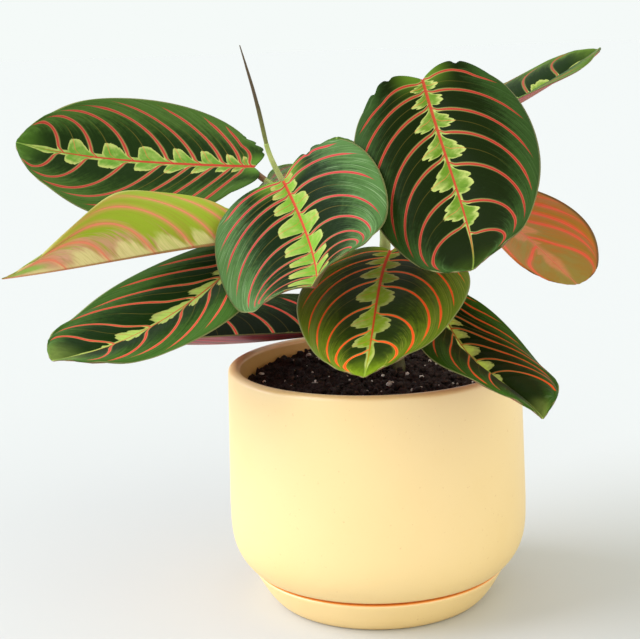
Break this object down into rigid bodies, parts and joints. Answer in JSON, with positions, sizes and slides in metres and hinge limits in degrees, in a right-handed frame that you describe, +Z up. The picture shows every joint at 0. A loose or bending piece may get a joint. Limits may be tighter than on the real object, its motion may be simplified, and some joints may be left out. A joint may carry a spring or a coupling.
{
  "type": "potted prayer plant",
  "caption": "Prayer plant (maranta) with dark oval leaves, red veins and lime midrib bands, in a round pale yellow ceramic pot on its saucer",
  "frame": {"origin": "centre of the saucer's underside, on the surface that it stands on", "axes": "+Z up; -Y is the front, with the three big hanging leaves; +X to the right seen from the front"},
  "size_m": [0.3082, 0.2795, 0.2861],
  "materials": {
    "ceramic": "matte pale yellow ceramic with a faint mottle",
    "soil": "dark moist potting soil with white perlite",
    "leaf": "satin dark green blade with coral veins and a lime midrib band",
    "young_leaf": "satin pale yellow-green young blade with pink veins",
    "stalk": "smooth pale green leaf stalk with a reddish joint"
  },
  "bodies": {
    "root": {"saucer": "ceramic", "pot": "ceramic", "soil": "soil", "stem_left": "stalk", "stem_right": "stalk", "stem_back": "stalk", "leaf_upper_left": "leaf", "leaf_young_folded": "young_leaf", "leaf_lower_left": "leaf", "leaf_back_left": "leaf", "leaf_front_left": "leaf", "leaf_front_right": "leaf", "leaf_front_centre": "leaf", "leaf_lower_right": "leaf", "leaf_back_right": "leaf", "leaf_upper_right": "leaf", "leaf_back": "leaf", "leaf_rolled": "young_leaf"}
  },
  "joints": []
}
